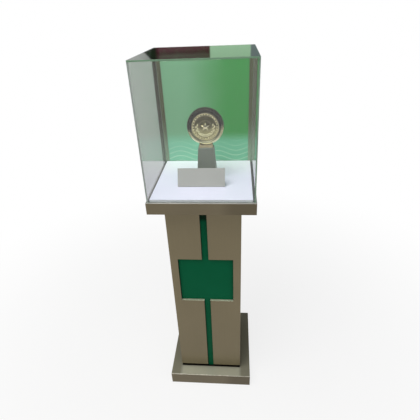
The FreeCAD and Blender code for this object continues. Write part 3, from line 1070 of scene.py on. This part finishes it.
def build_leaf(front, spread, start):
    """A pointed leaf with a ridge, standing proud of the face at the start of a branch."""
    clear_selection()
    reach = leaf_circle + math.copysign(leaf_width * leaf_offset, spread)
    bpy.ops.mesh.primitive_cone_add(
        vertices=leaf_sides, radius1=0.5, radius2=0.0, depth=1.0,
        location=ground_point(front - leaf_rise / 2, reach, start), rotation=(math.pi / 2, 0, math.pi / 6),
    )
    leaf = named("medal_leaf")
    bpy.ops.object.transform_apply(location=False, rotation=True, scale=False)
    leaf.scale = (leaf_length, leaf_rise, leaf_width)
    leaf.rotation_euler = (0, -start + spread, 0)
    settle()
    return leaf


def build_wreath(front):
    """Two branches, with leaves in turn on either side, that curve up from the foot of the face."""
    axis = medal_axis()
    half_step = branch_sweep / leaf_steps / 2
    leaves = [
        build_leaf(front, -leaf_spread, branch_start),
        build_leaf(front, leaf_spread, branch_start + half_step),
    ]
    clear_selection()
    for leaf in leaves:
        leaf.select_set(True)
    bpy.context.view_layer.objects.active = leaves[0]
    bpy.ops.object.join()
    branch = named("medal_branch")
    choose_all(branch)
    bpy.ops.mesh.spin(
        steps=leaf_steps, dupli=True, angle=-branch_sweep, center=axis, axis=(0, 1, 0)
    )
    choose_all(branch)
    bpy.ops.mesh.duplicate()
    bpy.ops.transform.resize(value=(-1, 1, 1), center_override=axis)
    close_up()
    bpy.ops.object.mode_set(mode="OBJECT")
    return branch


def build_star(front):
    """Five-pointed star with a ridge along each point."""
    axis = medal_axis()
    clear_selection()
    bpy.ops.mesh.primitive_cone_add(
        vertices=2 * star_points, radius1=star_outer, radius2=0.0, depth=star_rise,
        location=(axis.x, front - star_rise / 2, axis.z), rotation=(math.pi / 2, 0, 0),
    )
    star = named("medal_star")
    settle()

    def between_points(point):
        angle = math.atan2(point.co.x - axis.x, point.co.z - axis.z)
        return abs(point.co.y - front) < TINY and round(angle * star_points / math.pi) % 2 == 1

    choose(star, "verts", between_points)
    narrowing = star_inner / star_outer
    bpy.ops.transform.resize(value=(narrowing, 1, narrowing), center_override=(axis.x, front, axis.z))
    bpy.ops.object.mode_set(mode="OBJECT")
    return star


def build_medal_face():
    front = medal_ground()
    disc = build_face_disc(front)
    reliefs = [build_beads(front), build_wreath(front), build_star(front)]
    clear_selection()
    for relief in reliefs:
        relief.select_set(True)
    disc.select_set(True)
    bpy.context.view_layer.objects.active = disc
    bpy.ops.object.join()
    paint(disc, finish["relief_gold"], lambda face: True)
    place(disc, "pedestal", "gold", "medal_face")


# Stage, light and camera

def seen_directly(tree):
    """1 for rays from the camera, and for those that metal or acrylic sends on."""
    path = tree.nodes.new("ShaderNodeLightPath")
    glossy = math_node(tree, "MAXIMUM", path.outputs["Is Camera Ray"], path.outputs["Is Glossy Ray"])
    return math_node(tree, "MAXIMUM", glossy, path.outputs["Is Transmission Ray"])


def room(tree):
    """What polished surfaces mirror: a white floor, pale walls with a doorway and a post, a dark ceiling."""
    jamb_lean = 0.8
    across, _, height = split(tree, tree.nodes.new("ShaderNodeTexCoord").outputs["Generated"])

    def past(place, start, end):
        return ranged(tree, place, start, end, 0.0, 1.0)

    def before(place, start, end):
        return ranged(tree, place, start, end, 1.0, 0.0)

    above_floor = ranged(tree, height, 0.027, 0.06, 0.0, 1.0, smooth_step=True)
    to_ceiling = ranged(tree, height, 0.12, 0.5, 0.0, 1.0, smooth_step=True)
    right_of_door = past(across, -0.076, -0.072)
    slant = math_node(tree, "SUBTRACT", across, math_node(tree, "MULTIPLY", height, jamb_lean))
    left_of_door = before(slant, -0.318, -0.312)
    curtain = mixed(tree, past(height, 0.085, 0.093), (0.10, 0.014, 0.040, 1.0), (0.057, 0.006, 0.020, 1.0))
    doorway = mixed(tree, past(height, 0.094, 0.101), curtain, (0.085, 0.046, 0.050, 1.0))
    doorway = mixed(tree, before(across, -0.217, -0.207), doorway, (0.012, 0.022, 0.012, 1.0))
    wall = mixed(tree, right_of_door, doorway, (0.408, 0.64, 0.424, 1.0))
    left_wall = mixed(tree, past(across, -0.275, -0.237), (0.49, 0.52, 0.49, 1.0), (0.37, 0.40, 0.37, 1.0))
    wall = mixed(tree, left_of_door, wall, left_wall)
    post = math_node(tree, "MULTIPLY", past(across, 0.031, 0.035), before(across, 0.09, 0.11))
    wall = mixed(tree, post, wall, (0.17, 0.225, 0.22, 1.0))
    wall = mixed(tree, above_floor, WHITE, wall)
    return mixed(tree, to_ceiling, wall, (0.05, 0.05, 0.055, 1.0))


def build_world():
    world = bpy.data.worlds.new("studio")
    bpy.context.scene.world = world
    world.use_nodes = True
    tree = world.node_tree
    light = tree.nodes["Background"]
    set_sockets(light, Color=(0.97, 0.98, 1.0, 1.0), Strength=0.30)
    backdrop = tree.nodes.new("ShaderNodeBackground")
    straight = tree.nodes.new("ShaderNodeLightPath").outputs["Is Camera Ray"]
    seen = mixed(tree, straight, room(tree), WHITE)
    tree.links.new(seen, backdrop.inputs["Color"])
    both = tree.nodes.new("ShaderNodeMixShader")
    tree.links.new(seen_directly(tree), both.inputs["Fac"])
    tree.links.new(light.outputs["Background"], both.inputs[1])
    tree.links.new(backdrop.outputs["Background"], both.inputs[2])
    tree.links.new(both.outputs["Shader"], tree.nodes["World Output"].inputs["Surface"])


def build_floor():
    """Pale floor that keeps the shadow near the pedestal and fades to white further off."""
    floor_size = 80.0
    fade_start, fade_end, fade_share = 0.5, 2.2, 0.8
    clear_selection()
    bpy.ops.mesh.primitive_plane_add(size=floor_size, location=(0, 0, 0))
    floor = named("studio_floor")
    material, tree, shader = new_material("studio_floor")
    spot = object_place(tree)
    speckle = noise(tree, spot, scale=6.0, detail=2.0, roughness=0.5)
    tone = mixed(tree, speckle, shade(222, 222, 222), shade(229, 229, 229))
    tree.links.new(tone, shader.inputs["Base Color"])
    set_sockets(shader, Roughness=0.8, Specular_IOR_Level=0.1)
    distance = tree.nodes.new("ShaderNodeVectorMath")
    distance.operation = "LENGTH"
    tree.links.new(spot, distance.inputs[0])
    far = ranged(tree, distance.outputs["Value"], fade_start, fade_end, fade_share, 1.0, smooth_step=True)
    white = tree.nodes.new("ShaderNodeEmission")
    both = tree.nodes.new("ShaderNodeMixShader")
    tree.links.new(math_node(tree, "MULTIPLY", far, seen_directly(tree)), both.inputs["Fac"])
    tree.links.new(shader.outputs["BSDF"], both.inputs[1])
    tree.links.new(white.outputs["Emission"], both.inputs[2])
    tree.links.new(both.outputs["Shader"], tree.nodes["Material Output"].inputs["Surface"])
    floor.data.materials.append(material)


def build_dark_board():
    """A dark board that stands far behind the pedestal and shows only through the acrylic."""
    left, right, back, height = -0.645, -0.596, 2.0, 1.42
    clear_selection()
    bpy.ops.mesh.primitive_plane_add(size=1.0, location=((left + right) / 2, back, height / 2))
    board = named("dark_board")
    board.rotation_euler = (math.pi / 2, 0, 0)
    board.scale = (right - left, height, 1.0)
    settle()
    board.visible_camera = False
    board.visible_diffuse = False
    board.visible_shadow = False
    board.data.materials.append(finish["dark_cloth"])


def add_softbox(name, spot, target, size, power, colour):
    bpy.ops.object.light_add(type="AREA", location=spot)
    lamp = named(name)
    lamp.data.size = size
    lamp.data.energy = power
    lamp.data.color = colour
    lamp.rotation_euler = (Vector(target) - Vector(spot)).to_track_quat("-Z", "Y").to_euler()


def build_lights():
    middle = (0.0, 0.0, 0.9)
    warm, cool = (1.0, 0.98, 0.95), (0.96, 0.98, 1.0)
    add_softbox("key_softbox", (-0.8, -1.0, 3.7), middle, size=2.2, power=93.0, colour=warm)
    add_softbox("fill_softbox", (2.4, -1.6, 1.6), middle, size=2.0, power=14.0, colour=cool)


def build_camera():
    """The photograph's viewpoint, found from the corners of the base, column, deck and hood."""
    viewpoint = Vector((0.13218, -1.27800, 1.65113))
    yaw = math.radians(-5.2807)
    pitch = math.radians(30.1378)
    roll = math.radians(-2.4165)
    focal_pixels = 343.626
    image_width = 420
    bpy.ops.object.camera_add()
    camera = named("photo_camera")
    camera.data.sensor_width = 36.0
    camera.data.lens = focal_pixels * camera.data.sensor_width / image_width
    camera.data.clip_end = 200.0
    turn = (
        Matrix.Rotation(-yaw, 4, "Z")
        @ Matrix.Rotation(math.pi / 2 - pitch, 4, "X")
        @ Matrix.Rotation(roll, 4, "Z")
    )
    camera.matrix_world = Matrix.Translation(viewpoint) @ turn
    bpy.context.scene.camera = camera


dress_nodes()
build_tray("base_shell", "base_top")
build_tray("deck_shell", "deck_top")
build_skin("left_skin", -1)
build_skin("right_skin", 1)
build_inlay()
build_hood()
build_floor_panel()
build_caption_plate()
build_post()
build_medal_foot()
build_medal_rim()
build_medal_face()
clear_selection()
build_world()
build_floor()
build_dark_board()
build_lights()
build_camera()
bpy.context.scene.view_settings.view_transform = "Standard"
